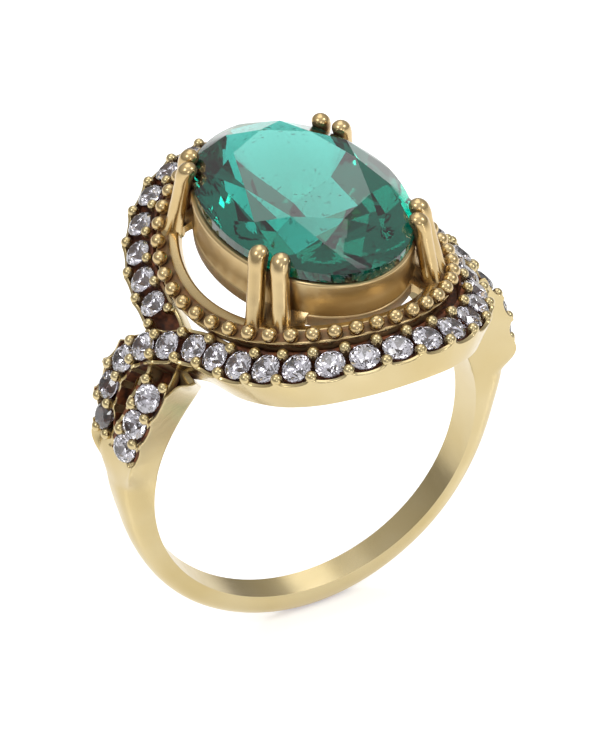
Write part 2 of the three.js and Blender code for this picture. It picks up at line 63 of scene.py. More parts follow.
# ---- sizes ---------------------------------------------------------------------------------
# Mostly the CAD model's own. These differ a little from it: the strands are narrower, the small
# stones larger, the ledge longer, the gallery's beads smaller, the shoulders' sections softer.
HOLE_RADIUS = 8.65
HALO_RADIUS = 11.9
HALO_ACROSS = 7.0
HALO_ALONG = 9.42
HALO_POWER = 2.2
HALO_TILT = 2
HALO_FROM, HALO_TO = 13, 171
HALO_POINTS = 11
# Ends of a strand: angle from the top, place along the finger, radius of the stone plane.
OVER_TAIL = [(-70, 0.95, 10.75), (-58, 1.35, 11.3), (-50, 1.15, 11.55), (-44.5, 0.35, 11.8),
             (-40, -0.9, 11.95)]
UNDER_TAIL = [(37.6, -0.1, 11.35), (41, 0.85, 11.2), (45, 1.65, 11.3), (49, 1.9, 11.5),
              (56, 1.75, 11.25), (70, 1.1, 10.75)]
CURVE_STEPS = 60
TAIL_POINTS = 4 * CURVE_STEPS
# Shares of the strand's length where its start and its end turn from shoulder to halo.
TAIL_ENDS = ((0.17, 0.205), (0.84, 0.87))
UNDERSIDE = [(0, 9.6), (0.1, 10.0), (0.19, 10.1), (0.34, 10.12), (0.42, 10.36), (0.55, 10.45),
             (0.8, 10.4), (0.87, 10.1), (0.93, 10.0), (1, 9.6)]
STRAND_HALF_WIDTH = 0.87
CHANNEL_HALF_WIDTH = 0.69
CHANNEL_DEPTH = 0.6
STRAND_STEP = 0.05
BEAD_RADIUS, BEAD_OFFSET, TAIL_BEAD_OFFSET, BEAD_LIFT = 0.27, 0.6, 0.46, 0.12
POST_LENGTH, FLANK_POST_LENGTH = 0.5, 0.25
# Sideways lean of the stone plane, in degrees, against the share of the strand's length.
BANK = [(0, 3), (0.2, 6), (0.3, 10), (0.45, 13), (0.6, 13), (0.72, 8), (0.8, 0), (0.88, -22), (1, -22)]
WALL_RISE, CLAW_RISE = 0.03, 0.2
NOTCH_HALF_LENGTH, NOTCH_DEPTH = 0.68, 0.25
TAIL_UNDERCUT, TAIL_TUCK = 0.85, 0.19
# Ledge on the halo's inner side, between shares of the strand's length.
FLANGE = {"from": 0.25, "to": 0.78, "reach": 0.6, "low": 10.95, "high": 11.6}
# Stretches of evenly spaced small stones: length from the strand's start, pitch and count.
ACCENT_RUNS = [(1.05, 1.65, 6), (10.8, 1.53, 9), (24.75, 1.81, 5), (37.3, 1.69, 3)]
ACCENT_RADIUS = 0.67
ACCENT_TURN = 0.7

# Angle from the bottom of the ring, outer radius on the narrow flank and on the wide flank, half
# width at the finger, half width outside on both flanks, and how square the section is (2 is an
# ellipse). Between SHOULDER angles the rows of stones set the flanks instead.
SHANK_STATIONS = [
    (0, 10.15, 10.15, 0.72, 0.82, 0.82, 2.0),
    (35, 9.97, 9.97, 0.76, 0.87, 0.87, 2.0),
    (65, 9.83, 9.83, 0.88, 1.02, 1.02, 2.1),
    (85, 10.0, 10.0, 1.02, 1.25, 1.25, 2.3),
    (98, 10.42, 10.38, 1.13, 1.52, 1.55, 2.9),
    (106, 10.7, 10.5, 1.2, 1.77, 1.8, 4.0),
    (123, 11.2, 10.98, 1.3, 2.27, 2.68, 6.0),
    (134, 11.1, 11.2, 1.28, 1.85, 2.78, 6.0),
    (137, 11.0, 11.15, 1.25, 1.65, 2.85, 6.0),
    (141, 11.1, 11.1, 1.18, 1.8, 3.5, 6.0),
]
SHOULDER = {"from": 99, "full": 109, "rows_to": 132, "rows_end": 136}
POCKET = {"from": 110.5, "full": 113, "depth": 0.5, "rim": 0.13, "ends": (136, 140)}
SHOULDER_END_LEAN, SHOULDER_LEAN_FROM = 4, 120
# Extra points on each side of a shoulder's section, and the points that round off a corner.
SHANK_FILLS = (16, 0, 0, 14, 0, 0, 16, 8)
CORNER_STEPS = 4
SHARP_EDGE = 38
SLOT_FROM, SLOT_TO, SLOT_HALF_WIDTH = 47, 60, 0.36

GALLERY_ACROSS, GALLERY_ALONG = 6.36, 8.2
GALLERY_INSET, GALLERY_OUTSET = 0.85, 0.2
GALLERY_BOTTOM, GALLERY_TOP = 11.75, 12.4
GALLERY_BEADS, GALLERY_BEAD_RADIUS, GALLERY_BEAD_CENTRE = 44, 0.36, 12.6

COLLAR_ACROSS, COLLAR_ALONG, COLLAR_WALL = 4.65, 6.75, 0.42
COLLAR_BOTTOM, COLLAR_TOP = 11.5, 13.75

PRONG_RADIUS = 0.42
PRONG_TIP_HEIGHT = 15.05
PRONG_FOOT_HEIGHT = 11.2
PRONG_PAIR = [("side", (4.6, 4.45), (3.93, 3.8)), ("end", (3.78, 5.56), (3.4, 4.82))]

STONE_ACROSS, STONE_ALONG = 4.47, 6.85
STONE_GIRDLE_BOTTOM, STONE_GIRDLE_TOP, STONE_GIRDLE_WAVE = 13.85, 14.4, 0.06
STONE_TABLE, STONE_TABLE_SHARE = 15.5, 0.62
STONE_STAR_HEIGHT, STONE_STAR_SHARE = 15.13, 0.81
STONE_LOW_HEIGHT, STONE_LOW_SHARE = 11.2, 0.52
STONE_CULET, STONE_KEEL = 9.9, 0.9

# Camera: azimuth from the front towards -X, elevation, roll, distance and aim point (mm).
CAMERA_AZIMUTH, CAMERA_ELEVATION, CAMERA_ROLL = 24.9, 36.7, -1.9
CAMERA_DISTANCE = 118.9
CAMERA_AIM = (-0.38, 0.0, 4.45)
CAMERA_LENS = 121.0

# Softboxes: direction, distance and side in metres, and radiance.
SOFTBOXES = [
    ("window_right", (0.55, -0.35, 0.75), 0.4, 0.09, 9.0),
    ("window_left", (-0.6, -0.1, 0.8), 0.4, 0.12, 5.0),
    ("top_light", (0.1, 0.35, 1.0), 0.45, 0.3, 1.3),
    ("front_low", (0.2, -0.95, 0.12), 0.4, 0.06, 6.0),
    ("front_high", (-0.25, -0.85, 0.45), 0.4, 0.12, 2.5),
    ("table_glow", (0.34, 0.72, 0.6), 0.4, 0.14, 1.2),
]

BAND_TONES = ((0.59, 0.485, 0.275), (0.54, 0.425, 0.210))
HEAD_TONES = ((0.61, 0.463, 0.245), (0.56, 0.405, 0.190))
# Browns for the recesses of the gold: polish residue, and painted shade where little light gets in.
RESIDUE_AND_SHADE_PALE = (0.24, 0.07, 0.018)
RESIDUE_AND_SHADE_DEEP = (0.035, 0.012, 0.006)
GREEN_TINT = (0.14, 0.66, 0.6)
SPECK_TINT = (0.02, 0.12, 0.11)


# ---- camera, floor and light ---------------------------------------------------------------
def make_camera():
    a, e, r = (math.radians(x) for x in (CAMERA_AZIMUTH, CAMERA_ELEVATION, CAMERA_ROLL))
    back = Vector((-math.sin(a) * math.cos(e), -math.cos(a) * math.cos(e), math.sin(e)))
    level = Vector((math.cos(a), -math.sin(a), 0))
    rise = back.cross(level)
    right = level * math.cos(r) + rise * math.sin(r)
    up = rise * math.cos(r) - level * math.sin(r)
    data = bpy.data.cameras.new("camera")
    data.lens = CAMERA_LENS
    data.clip_start = 0.005
    data.clip_end = 10
    camera = bpy.data.objects.new("camera", data)
    turn = Matrix((right, up, back)).transposed().to_4x4()
    place = (Vector(CAMERA_AIM) + back * CAMERA_DISTANCE) * MM
    camera.matrix_world = Matrix.Translation(place) @ turn
    bpy.context.scene.collection.objects.link(camera)
    bpy.context.scene.camera = camera


def make_softbox(name, direction, distance, size, radiance):
    """Square area light that faces the ring from a direction; its power follows from its radiance."""
    data = bpy.data.lights.new(name, "AREA")
    data.shape = "SQUARE"
    data.size = size
    data.energy = radiance * math.pi * size * size
    light = bpy.data.objects.new(name, data)
    way = Vector(direction).normalized()
    turn = way.to_track_quat("Z", "Y").to_matrix().to_4x4()
    light.matrix_world = Matrix.Translation(way * distance) @ turn
    bpy.context.scene.collection.objects.link(light)


def make_world():
    world = bpy.data.worlds.new("studio")
    world.use_nodes = True
    bpy.context.scene.world = world
    nodes, links = world.node_tree.nodes, world.node_tree.links
    background = nodes["Background"]
    coordinate = nodes.new("ShaderNodeTexCoord")
    split = nodes.new("ShaderNodeSeparateXYZ")
    ramp = nodes.new("ShaderNodeValToRGB")
    links.new(coordinate.outputs["Generated"], split.inputs[0])
    links.new(split.outputs["Z"], ramp.inputs["Fac"])
    links.new(ramp.outputs["Color"], background.inputs["Color"])
    ramp.color_ramp.elements[0].position = 0.0
    ramp.color_ramp.elements[0].color = (0.30, 0.29, 0.28, 1)
    ramp.color_ramp.elements[1].position = 0.9
    ramp.color_ramp.elements[1].color = (0.8, 0.8, 0.8, 1)
    background.inputs["Strength"].default_value = 1.0


def make_stage():
    """Pale glossy floor that the bottom of the shank stands on."""
    bpy.ops.mesh.primitive_plane_add(size=4, location=(0, 0, CAD_LOW.z - 0.00002))
    floor = bpy.context.object
    floor.name = "floor"
    material, shader, _ = new_material("floor_white")
    shader.inputs["Base Color"].default_value = (0.95, 0.95, 0.95, 1)
    shader.inputs["Roughness"].default_value = 0.12
    shader.inputs["Emission Color"].default_value = (1, 1, 1, 1)
    shader.inputs["Emission Strength"].default_value = 0.4
    floor.data.materials.append(material)


# ---- materials -----------------------------------------------------------------------------
def new_material(name):
    material = bpy.data.materials.new(name)
    material.use_nodes = True
    tree = material.node_tree
    return material, tree.nodes["Principled BSDF"], tree


def noise(tree, scale, detail, stretch=(1, 1, 1)):
    """Noise in object space: scale is in features per metre, stretch divides it along an axis."""
    coordinate = tree.nodes.new("ShaderNodeTexCoord")
    mapping = tree.nodes.new("ShaderNodeMapping")
    mapping.inputs["Scale"].default_value = stretch
    texture = tree.nodes.new("ShaderNodeTexNoise")
    texture.inputs["Scale"].default_value = scale
    texture.inputs["Detail"].default_value = detail
    tree.links.new(coordinate.outputs["Object"], mapping.inputs["Vector"])
    tree.links.new(mapping.outputs["Vector"], texture.inputs["Vector"])
    return texture.outputs["Fac"]


def ramp(tree, factor, low, high, colours):
    node = tree.nodes.new("ShaderNodeValToRGB")
    node.color_ramp.elements[0].position = low
    node.color_ramp.elements[1].position = high
    node.color_ramp.elements[0].color = (*colours[0], 1)
    node.color_ramp.elements[1].color = (*colours[1], 1)
    tree.links.new(factor, node.inputs["Fac"])
    return node.outputs["Color"]


def mix(tree, factor, a, b):
    node = tree.nodes.new("ShaderNodeMix")
    node.data_type = "RGBA"
    tree.links.new(factor, node.inputs["Factor"])
    for socket, value in ((node.inputs["A"], a), (node.inputs["B"], b)):
        if isinstance(value, tuple):
            socket.default_value = (*value, 1)
        else:
            tree.links.new(value, socket)
    return node.outputs["Result"]


def arithmetic(tree, operation, a, b, clamp=False):
    node = tree.nodes.new("ShaderNodeMath")
    node.operation = operation
    node.use_clamp = clamp
    for socket, value in ((node.inputs[0], a), (node.inputs[1], b)):
        if isinstance(value, (int, float)):
            socket.default_value = value
        else:
            tree.links.new(value, socket)
    return node.outputs[0]


def spread(tree, factor, low, high):
    node = tree.nodes.new("ShaderNodeMapRange")
    node.inputs["To Min"].default_value = low
    node.inputs["To Max"].default_value = high
    tree.links.new(factor, node.inputs["Value"])
    return node.outputs["Result"]


def gold_material(name, tones, roughness, wear, crevice_reach):
    """Polished gold. In the recesses its base colour turns brown: where the mesh says so, and in
    crevices narrower than crevice_reach (metres). The brown is partly polish residue, partly painted
    shade."""
    material, shader, tree = new_material(name)
    links = tree.links
    tone = ramp(tree, noise(tree, 260, 3), 0.35, 0.7, tones)
    recess = tree.nodes.new("ShaderNodeAttribute")
    recess.attribute_name = "recess"
    # Painted shade: ambient occlusion browns the base colour in crevices narrower than crevice_reach.
    shade = tree.nodes.new("ShaderNodeAmbientOcclusion")
    shade.samples = 8
    shade.inputs["Distance"].default_value = crevice_reach
    closed = arithmetic(tree, "SUBTRACT", 1.0, shade.outputs["AO"], clamp=True)
    closed = spread(tree, closed, -0.55, 1.35)
    patchy = spread(tree, noise(tree, 1500, 4), 0.8, 1.35)
    # Mask of residue and painted shade: the mesh's recess value or the occlusion, whichever is larger,
    # made patchy.
    residue_and_shade = arithmetic(tree, "MAXIMUM", recess.outputs["Fac"], closed)
    residue_and_shade = arithmetic(tree, "MULTIPLY", residue_and_shade, patchy, clamp=True)
    brown = ramp(tree, noise(tree, 2600, 4), 0.35, 0.7, (RESIDUE_AND_SHADE_DEEP, RESIDUE_AND_SHADE_PALE))
    links.new(mix(tree, residue_and_shade, tone, brown), shader.inputs["Base Color"])
    links.new(spread(tree, residue_and_shade, 1.0, 0.35), shader.inputs["Metallic"])
    smear = spread(tree, noise(tree, 900, 5, (1, 1, 3)), roughness - 0.05, roughness + 0.09)
    rough = arithmetic(tree, "ADD", smear, arithmetic(tree, "MULTIPLY", residue_and_shade, 0.35), clamp=True)
    links.new(rough, shader.inputs["Roughness"])
    scratch = noise(tree, 5200, 6, (1, 0.25, 1))
    ripple = noise(tree, 420, 2)
    height = arithmetic(tree, "ADD", arithmetic(tree, "MULTIPLY", scratch, 0.25), ripple)
    bump = tree.nodes.new("ShaderNodeBump")
    bump.inputs["Strength"].default_value = wear
    bump.inputs["Distance"].default_value = 0.00002
    links.new(height, bump.inputs["Height"])
    links.new(bump.outputs["Normal"], shader.inputs["Normal"])
    return material


def brushed_band_material():
    """Gold with the fine upright file marks of the collar's lower band."""
    material = gold_material("gold_collar", HEAD_TONES, 0.3, 0.3, 0.0003)
    tree = material.node_tree
    shader = tree.nodes["Principled BSDF"]
    marks = noise(tree, 4200, 2, (1, 1, 0.04))
    bump = tree.nodes.new("ShaderNodeBump")
    bump.inputs["Strength"].default_value = 0.5
    bump.inputs["Distance"].default_value = 0.00003
    band = tree.nodes.new("ShaderNodeAttribute")
    band.attribute_name = "filed"
    tree.links.new(arithmetic(tree, "MULTIPLY", marks, band.outputs["Fac"]), bump.inputs["Height"])
    tree.links.new(shader.inputs["Normal"].links[0].from_socket, bump.inputs["Normal"])
    tree.links.new(bump.outputs["Normal"], shader.inputs["Normal"])
    return material


def green_stone_material():
    material, shader, tree = new_material("green_glass")
    shader.inputs["Transmission Weight"].default_value = 1.0
    shader.inputs["IOR"].default_value = 1.66
    speck = ramp(tree, noise(tree, 3800, 2), 0.33, 0.36, (SPECK_TINT, GREEN_TINT))
    patch = ramp(tree, noise(tree, 330, 2), 0.5, 0.62, ((1, 1, 1), (0, 0, 0)))
    split = tree.nodes.new("ShaderNodeSeparateColor")
    tree.links.new(patch, split.inputs["Color"])
    tree.links.new(mix(tree, split.outputs["Red"], speck, GREEN_TINT), shader.inputs["Base Color"])
    tree.links.new(spread(tree, noise(tree, 700, 3), 0.0, 0.03), shader.inputs["Roughness"])
    body = tree.nodes.new("ShaderNodeVolumeAbsorption")
    body.inputs["Color"].default_value = (0.02, 0.7, 0.64, 1)
    body.inputs["Density"].default_value = 400
    tree.links.new(body.outputs["Volume"], tree.nodes["Material Output"].inputs["Volume"])
    return material


def clear_stone_material():
    material, shader, tree = new_material("clear_stone_glass")
    shader.inputs["Transmission Weight"].default_value = 1.0
    shader.inputs["IOR"].default_value = 2.1
    tint = ramp(tree, noise(tree, 1800, 2), 0.3, 0.7, ((0.72, 0.69, 0.79), (0.89, 0.87, 0.93)))
    tree.links.new(tint, shader.inputs["Base Color"])
    tree.links.new(spread(tree, noise(tree, 900, 2), 0.0, 0.04), shader.inputs["Roughness"])
    return material


# ---- mesh helpers --------------------------------------------------------------------------
def draped(u, y, radius):
    angle = np.asarray(u, float) / HALO_RADIUS
    return np.stack([radius * np.sin(angle), np.broadcast_to(y, angle.shape), radius * np.cos(angle)], -1)


def smoothstep(low, high, x):
    t = np.clip((np.asarray(x, float) - low) / (high - low), 0, 1)
    return t * t * (3 - 2 * t)


def rounded_outline(corners, steps=5):
    """Outline of (x, y, radius) corners with each corner rounded off by a curve of a few points."""
    points = []
    count = len(corners)
    for i, (x, y, radius) in enumerate(corners):
        here = np.array((x, y))
        before = np.array(corners[i - 1][:2]) - here
        after = np.array(corners[(i + 1) % count][:2]) - here
        room = min(np.linalg.norm(before), np.linalg.norm(after)) * 0.49
        reach = min(radius, room)
        start = here + before / np.linalg.norm(before) * reach
        end = here + after / np.linalg.norm(after) * reach
        for k in range(steps):
            t = k / (steps - 1)
            points.append((1 - t) ** 2 * start + 2 * t * (1 - t) * here + t * t * end)
    return np.array(points)


class Shape:
    """Mesh under construction: vertices in millimetres, faces, and a painted value per vertex."""

    def __init__(self):
        self.points = []
        self.faces = []
        self.paint = {}
        self.count = 0

    def add(self, points, faces, **paint):
        points = np.asarray(points, float).reshape(-1, 3)
        base = self.count
        self.points.append(points)
        self.faces += [[base + i for i in face] for face in faces]
        for name in set(self.paint) | set(paint):
            old = self.paint.get(name, np.zeros(base))
            new = np.broadcast_to(np.asarray(paint.get(name, 0.0), float).ravel(), (len(points),))
            self.paint[name] = np.concatenate([old, new])
        self.count += len(points)

    def add_grid(self, rings, looped=False, **paint):
        """Skin over rings of points; an open run gets a flat cap at each end."""
        rings = np.asarray(rings, float)
        rows, size = rings.shape[:2]
        faces = []
        for i in range(rows if looped else rows - 1):
            a, b = i * size, ((i + 1) % rows) * size
            for j in range(size):
                k = (j + 1) % size
                faces.append((a + j, a + k, b + k, b + j))
        if not looped:
            faces.append(tuple(range(size))[::-1])
            faces.append(tuple((rows - 1) * size + j for j in range(size)))
        self.add(rings.reshape(-1, 3), faces, **paint)

    def make(self, name, material, node=None):
        mesh = bpy.data.meshes.new(name)
        mesh.from_pydata((np.concatenate(self.points) * MM).tolist(), [], self.faces)
        for key, values in self.paint.items():
            layer = mesh.attributes.new(key, "FLOAT", "POINT")
            layer.data.foreach_set("value", values.astype(np.float32))
        return finish_piece(name, mesh, material, node, SHARP_EDGE)


def finish_piece(name, mesh, material, node, sharp):
    """Turns a mesh into a piece of the ring: outward faces, shading, material and body; the CAD part it
    stands in for is hidden.

    Edges sharper than so many degrees stay sharp, and 0 leaves every face flat.
    """
    bm = bmesh.new()
    bm.from_mesh(mesh)
    bmesh.ops.recalc_face_normals(bm, faces=bm.faces)
    bm.to_mesh(mesh)
    bm.free()
    if sharp:
        mesh.polygons.foreach_set("use_smooth", [True] * len(mesh.polygons))
        mesh.set_sharp_from_angle(angle=math.radians(sharp))
    mesh.materials.append(material)
    piece = bpy.data.objects.new(name, mesh)
    bpy.context.scene.collection.objects.link(piece)
    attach(piece, "root")
    if node:
        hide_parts(node)
    return piece


def ball_mesh(subdivisions):
    bm = bmesh.new()
    bmesh.ops.create_icosphere(bm, subdivisions=subdivisions, radius=1)
    points = np.array([v.co for v in bm.verts])
    faces = [[v.index for v in f.verts] for f in bm.faces]
    bm.free()
    return points, faces


BALL_POINTS, BALL_FACES = ball_mesh(3)


# ---- halo strands --------------------------------------------------------------------------
def catmull_rom(points, steps):
    """Centripetal Catmull-Rom curve through the points, as the CAD model draws it."""
    points = np.asarray(points, float)
    padded = np.vstack([2 * points[0] - points[1], points, 2 * points[-1] - points[-2]])
    out = []
    for i in range(len(points) - 1):
        p0, p1, p2, p3 = padded[i:i + 4]
        d0, d1, d2 = (math.sqrt(np.linalg.norm(b - a)) for a, b in ((p0, p1), (p1, p2), (p2, p3)))
        m1 = ((p1 - p0) / d0 - (p2 - p0) / (d0 + d1) + (p2 - p1) / d1) * d1
        m2 = ((p2 - p1) / d1 - (p3 - p1) / (d1 + d2) + (p3 - p2) / d2) * d1
        t = np.linspace(0, 1, steps, endpoint=False)[:, None]
        square, cube = 3 * (p2 - p1) - 2 * m1 - m2, 2 * (p1 - p2) + m1 + m2
        out.append(p1 + m1 * t + square * t ** 2 + cube * t ** 3)
    out.append(points[-1:])
    return np.vstack(out)


def strand_path():
    def unrolled(tail):
        return [(HALO_RADIUS * math.radians(angle), y, radius) for angle, y, radius in tail]

    halo = []
    tilt = math.radians(HALO_TILT)
    for turn in np.radians(np.linspace(HALO_FROM, HALO_TO, HALO_POINTS)):
        x = -HALO_ACROSS * np.sign(np.cos(turn)) * abs(np.cos(turn)) ** (2 / HALO_POWER)
        y = -HALO_ALONG * np.sin(turn) ** (2 / HALO_POWER)
        x, y = x * math.cos(tilt) - y * math.sin(tilt), x * math.sin(tilt) + y * math.cos(tilt)
        halo.append((HALO_RADIUS * math.asin(x / HALO_RADIUS), y, HALO_RADIUS))
    return catmull_rom(unrolled(OVER_TAIL) + halo + unrolled(UNDER_TAIL), CURVE_STEPS)


PATH = strand_path()
PATH_LENGTHS = np.concatenate([[0], np.cumsum(np.linalg.norm(np.diff(PATH, axis=0), axis=1))])
STRAND_LENGTH = PATH_LENGTHS[-1]


def strand_at(length):
    """Unrolled centre (u, y, radius) and outward direction (u, y) at lengths along the strand."""
    length = np.atleast_1d(length).astype(float)
    reach = 0.05
    centre = np.stack([np.interp(length, PATH_LENGTHS, PATH[:, k]) for k in range(3)], -1)
    ahead = np.stack([np.interp(length + reach, PATH_LENGTHS, PATH[:, k]) for k in range(2)], -1)
    behind = np.stack([np.interp(length - reach, PATH_LENGTHS, PATH[:, k]) for k in range(2)], -1)
    along = ahead - behind
    side = np.stack([along[:, 1], -along[:, 0]], -1)
    return centre, side / np.linalg.norm(side, axis=1)[:, None]


ACCENT_PLACES = [start + i * pitch for start, pitch, count in ACCENT_RUNS for i in range(count)]


def bead_places():
    reach = ACCENT_RUNS[0][1] / 2
    places = [ACCENT_PLACES[0] - reach]
    for place, following in zip(ACCENT_PLACES, ACCENT_PLACES[1:] + [math.inf]):
        if following - place < 3 * reach:
            places.append((place + following) / 2)
        else:
            places += [place + reach, following - reach]
    return np.array([place for place in places if place < STRAND_LENGTH])


BEAD_PLACES = bead_places()


def bank_at(length):
    return np.interp(np.asarray(length) / STRAND_LENGTH, *zip(*BANK))


def tail_share(length):
    """1 on the tails that run down the shoulders, 0 on the halo."""
    share = length / STRAND_LENGTH
    start, end = TAIL_ENDS
    return 1 - float(smoothstep(*start, share) * (1 - smoothstep(*end, share)))


def notch_at(length):
    """Depth of the U-shaped notch that a stone's seat cuts into the walls beside it."""
    nearest = np.min(np.abs(np.array(ACCENT_PLACES) - length)) / NOTCH_HALF_LENGTH
    return NOTCH_DEPTH * math.sqrt(1 - min(1.0, nearest) ** 2)


def rise_at(length, hand):
    """Height of a wall above the girdles. It stands up in claws on the side that is looked at:
    outwards (hand 1) on the halo, and on the flank side (hand -1) down the tails."""
    tail = tail_share(length)
    if hand < 0:
        clawed = tail
    else:
        clawed = 1 - tail
    claws = CLAW_RISE - notch_at(length)
    plain = WALL_RISE - 0.5 * notch_at(length)
    return plain + (claws - plain) * clawed


def strand_section(length, centre_radius):
    """Channel section at a length along the strand, as (offset, radius) with a recess value.

    On the tails the inner wall is tucked in and undercut, to stay clear of the shank's flank.
    """
    share = length / STRAND_LENGTH
    lean = math.tan(math.radians(bank_at(length)))
    from_end = min(length, STRAND_LENGTH - length)
    wall = centre_radius
    closed = 1 - float(smoothstep(0.1, 0.45, from_end))
    floor = centre_radius - CHANNEL_DEPTH + 0.5 * closed
    bottom = min(np.interp(share, *zip(*UNDERSIDE)), centre_radius - 0.75)
    w, c = STRAND_HALF_WIDTH, CHANNEL_HALF_WIDTH
    tail = tail_share(length)
    undercut = TAIL_UNDERCUT * tail
    tuck = TAIL_TUCK * tail
    grow = float(smoothstep(0, 0.03, share - FLANGE["from"]) * smoothstep(0, 0.03, FLANGE["to"] - share))
    reach = 0.02 + FLANGE["reach"] * grow
    high = min(FLANGE["high"], wall + w * lean - 0.1)
    low = min(max(bottom + 0.04, FLANGE["low"]), high - 0.12)
    outer_foot, inner_foot = w, -w + undercut
    inner_rise, outer_rise = (rise_at(length, hand) for hand in (-1, 1))
    corners = [(outer_foot, bottom, 0.12), (w, wall + outer_rise - w * lean, 0.05),
               (c, wall + outer_rise - c * lean, 0.05), (c - 0.03, floor, 0.08),
               (-c + 0.03 + 0.3 * tail, floor, 0.08),
               (-c + 0.06 * tail, wall + inner_rise + c * lean, 0.05),
               (-w + tuck, wall + inner_rise + w * lean, 0.05),
               (-w + tuck, high, 0.03), (-w - reach + tuck, high, 0.03),
               (-w - reach + 2 * tuck, low, 0.03),
               (inner_foot, low - 0.02, 0.03), (inner_foot, bottom, 0.1)]
    outline = rounded_outline(corners)
    depth = wall + WALL_RISE - outline[:, 0] * lean - outline[:, 1]
    inside = np.abs(outline[:, 0]) < c + 0.02
    trench = outline[:, 0] > c
    shelf = outline[:, 0] < -c
    # Recess paints residue brown and painted shade: deep in the channel, down the outer wall on the tails,
    # and on the inner side along the ledge.
    recess = np.where(inside & (depth > 0.06), 1.0, 0.0)
    recess = np.where(trench & (depth > 0.12), np.maximum(recess, tail), recess)
    recess = np.where(shelf, np.maximum(recess, grow), recess)
    return outline, recess


def add_strand_body(shape):
    lengths = np.arange(0, STRAND_LENGTH, STRAND_STEP)
    lengths = np.append(lengths, STRAND_LENGTH)
    centre, side = strand_at(lengths)
    rings, recess = [], []
    for i, length in enumerate(lengths):
        outline, hidden = strand_section(length, centre[i, 2])
        u = centre[i, 0] + side[i, 0] * outline[:, 0]
        y = centre[i, 1] + side[i, 1] * outline[:, 0]
        rings.append(draped(u, y, outline[:, 1]))
        recess.append(hidden)
    shape.add_grid(rings, recess=np.concatenate(recess))


def add_posts(shape):
    """Round-topped posts that rise out of both walls between the stones, and grip them."""
    for place in BEAD_PLACES:
        centre, side = strand_at(place)
        lean = math.tan(math.radians(bank_at(place)))
        tail = tail_share(place)
        for hand in (-1, 1):
            offset = hand * (BEAD_OFFSET + (TAIL_BEAD_OFFSET - BEAD_OFFSET) * tail)
            u = centre[0, 0] + side[0, 0] * offset
            y = centre[0, 1] + side[0, 1] * offset
            top = draped(u, y, centre[0, 2] + BEAD_LIFT - offset * lean)
            out = draped(u, 0, 1.0)
            rise = POST_LENGTH - (POST_LENGTH - FLANK_POST_LENGTH) * tail * (hand < 0)
            along = BALL_POINTS @ out
            stretch = np.where(along < 0, along * rise / BEAD_RADIUS - along, 0)
            pinch = 1 - 0.18 * np.clip(-along, 0, 1)
            flat = BALL_POINTS - along[:, None] * out
            points = flat * pinch[:, None] + (along + stretch)[:, None] * out
            # The stem below each bead carries recess 0.25: residue brown and painted shade beneath the
            # bead.
            shape.add(top + points * BEAD_RADIUS, BALL_FACES, recess=np.where(along < -0.3, 0.25, 0.0))


def make_strands(material):
    half_turn = np.diag([-1.0, -1.0, 1.0])
    for name, turn in (("halo_strand_front", np.eye(3)), ("halo_strand_back", half_turn)):
        shape = Shape()
        add_strand_body(shape)
        add_posts(shape)
        shape.points = [points @ turn for points in shape.points]
        shape.make(name + "_gold", material, name)


# ---- shank ---------------------------------------------------------------------------------
def shank_station(angle):
    """Outer radius, half widths and squareness at an angle from the bottom, smoothly read off."""
    table = np.array(SHANK_STATIONS)
    places = table[:, 0]
    slopes = np.zeros_like(table)
    slopes[1:-1] = (table[2:] - table[:-2]) / (places[2:] - places[:-2])[:, None]
    i = int(np.clip(np.searchsorted(places, angle) - 1, 0, len(places) - 2))
    span = places[i + 1] - places[i]
    t = (angle - places[i]) / span
    rise = (2 * t ** 3 - 3 * t ** 2 + 1) * table[i] + (3 * t ** 2 - 2 * t ** 3) * table[i + 1]
    lean = (t ** 3 - 2 * t ** 2 + t) * span * slopes[i] + (t ** 3 - t ** 2) * span * slopes[i + 1]
    return (rise + lean)[1:]


def rounded_line(corners, fills):
    """Closed outline of (x, y, radius) corners, with a number of extra points on each side."""
    curves = rounded_outline(corners, CORNER_STEPS).reshape(len(corners), CORNER_STEPS, 2)
    points = []
    for i, fill in enumerate(fills):
        points += list(curves[i])
        start, end = curves[i][-1], curves[(i + 1) % len(corners)][0]
        points += [start + (end - start) * (k + 1) / (fill + 1) for k in range(fill)]
    return np.array(points)


def row_edge(angle_from_top, over):
    """Distance along the finger, height and notch of the outer edge of a shoulder's row."""
    angles = np.degrees(PATH[:, 0] / HALO_RADIUS)
    if over:
        length = np.interp(-angle_from_top, angles[:TAIL_POINTS], PATH_LENGTHS[:TAIL_POINTS])
    else:
        length = np.interp(angle_from_top, angles[-TAIL_POINTS:], PATH_LENGTHS[-TAIL_POINTS:])
    centre, side = strand_at(length)
    lean = math.tan(math.radians(bank_at(length)))
    away = abs(centre[0, 1]) + STRAND_HALF_WIDTH / max(0.7, abs(side[0, 1]))
    height = centre[0, 2] + CLAW_RISE + STRAND_HALF_WIDTH * lean
    return away, height, notch_at(length)


def flank_at(inside, half, high, height):
    """Half width at a height of a flank that slants from the finger hole out to its top."""
    return inside + (half - inside) * (height - HOLE_RADIUS) / (high - HOLE_RADIUS)


def shoulder_outline(inside, sides, floor):
    """Channel section of a shoulder; sides gives the half width, height and notch of each flank."""
    rim = POCKET["rim"]
    tops, feet = [], []
    for half, high, notch in sides:
        tops.append((flank_at(inside, half, high, high - notch), high - notch))
        feet.append(flank_at(inside, half, high, floor) - rim - 0.06)
    (back, back_high), (front, front_high) = tops
    corners = [(inside, HOLE_RADIUS, 0.08), (back, back_high, 0.05), (back - rim, back_high, 0.03),
               (feet[0], floor, 0.05), (-feet[1], floor, 0.05), (rim - front, front_high, 0.03),
               (-front, front_high, 0.05), (-inside, HOLE_RADIUS, 0.08)]
    return rounded_line(corners, SHANK_FILLS)


def pocket_points():
    """Points of a shoulder's section from the top of one pocket wall to the foot of the other."""
    start = 2 * CORNER_STEPS + sum(SHANK_FILLS[:2]) + CORNER_STEPS // 2
    end = 5 * CORNER_STEPS + sum(SHANK_FILLS[:5])
    return slice(start, end)


